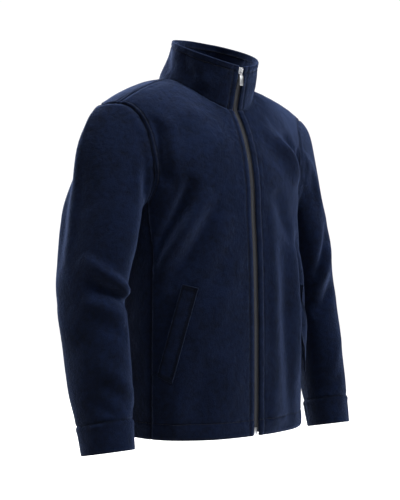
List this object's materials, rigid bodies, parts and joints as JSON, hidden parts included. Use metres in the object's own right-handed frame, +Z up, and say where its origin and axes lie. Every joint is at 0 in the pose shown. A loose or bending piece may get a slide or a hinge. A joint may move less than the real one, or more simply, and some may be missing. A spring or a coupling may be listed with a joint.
{
  "type": "zip-front fleece jacket, hollow and filled out as worn, held up at the shoulders",
  "caption": "Hip-length fleece jacket with a stand collar, full-length front zip, set-in sleeves with cuff bands and slanted welt pockets, open at neck, hem and cuffs.",
  "frame": {"origin": "centre of the neck opening, level with the tops of the shoulders, where the wearer's shoulders hold the jacket up", "axes": "+Z up along the jacket's length, -Y out of the zip at the front, +X to the wearer's left"},
  "size_m": [0.6462, 0.2582, 0.786],
  "materials": {
    "navy_fleece": "matt brushed fleece with a soft sheen",
    "zip_tape": "woven tape and coil teeth",
    "zip_metal": "satin metal"
  },
  "bodies": {
    "jacket": {"front_right": "navy_fleece", "front_left": "navy_fleece", "back": "navy_fleece", "sleeve_right": "navy_fleece", "sleeve_left": "navy_fleece", "cuff_right": "navy_fleece", "cuff_left": "navy_fleece", "collar": "navy_fleece", "pocket_welt_right": "navy_fleece", "pocket_welt_left": "navy_fleece", "zip_tape_right": "zip_tape", "zip_tape_left": "zip_tape", "zip_chain": "zip_tape", "zip_slider": "zip_metal", "zip_box": "zip_metal"},
    "pull": {"zip_pull": "zip_metal"}
  },
  "joints": [
    {"name": "pull_swing", "type": "hinge", "parent": "jacket", "child": "pull", "pos_m": [0, -0.09792, 0.00651], "axis": [-1, 0, 0], "range_deg": [-5, 100]}
  ]
}
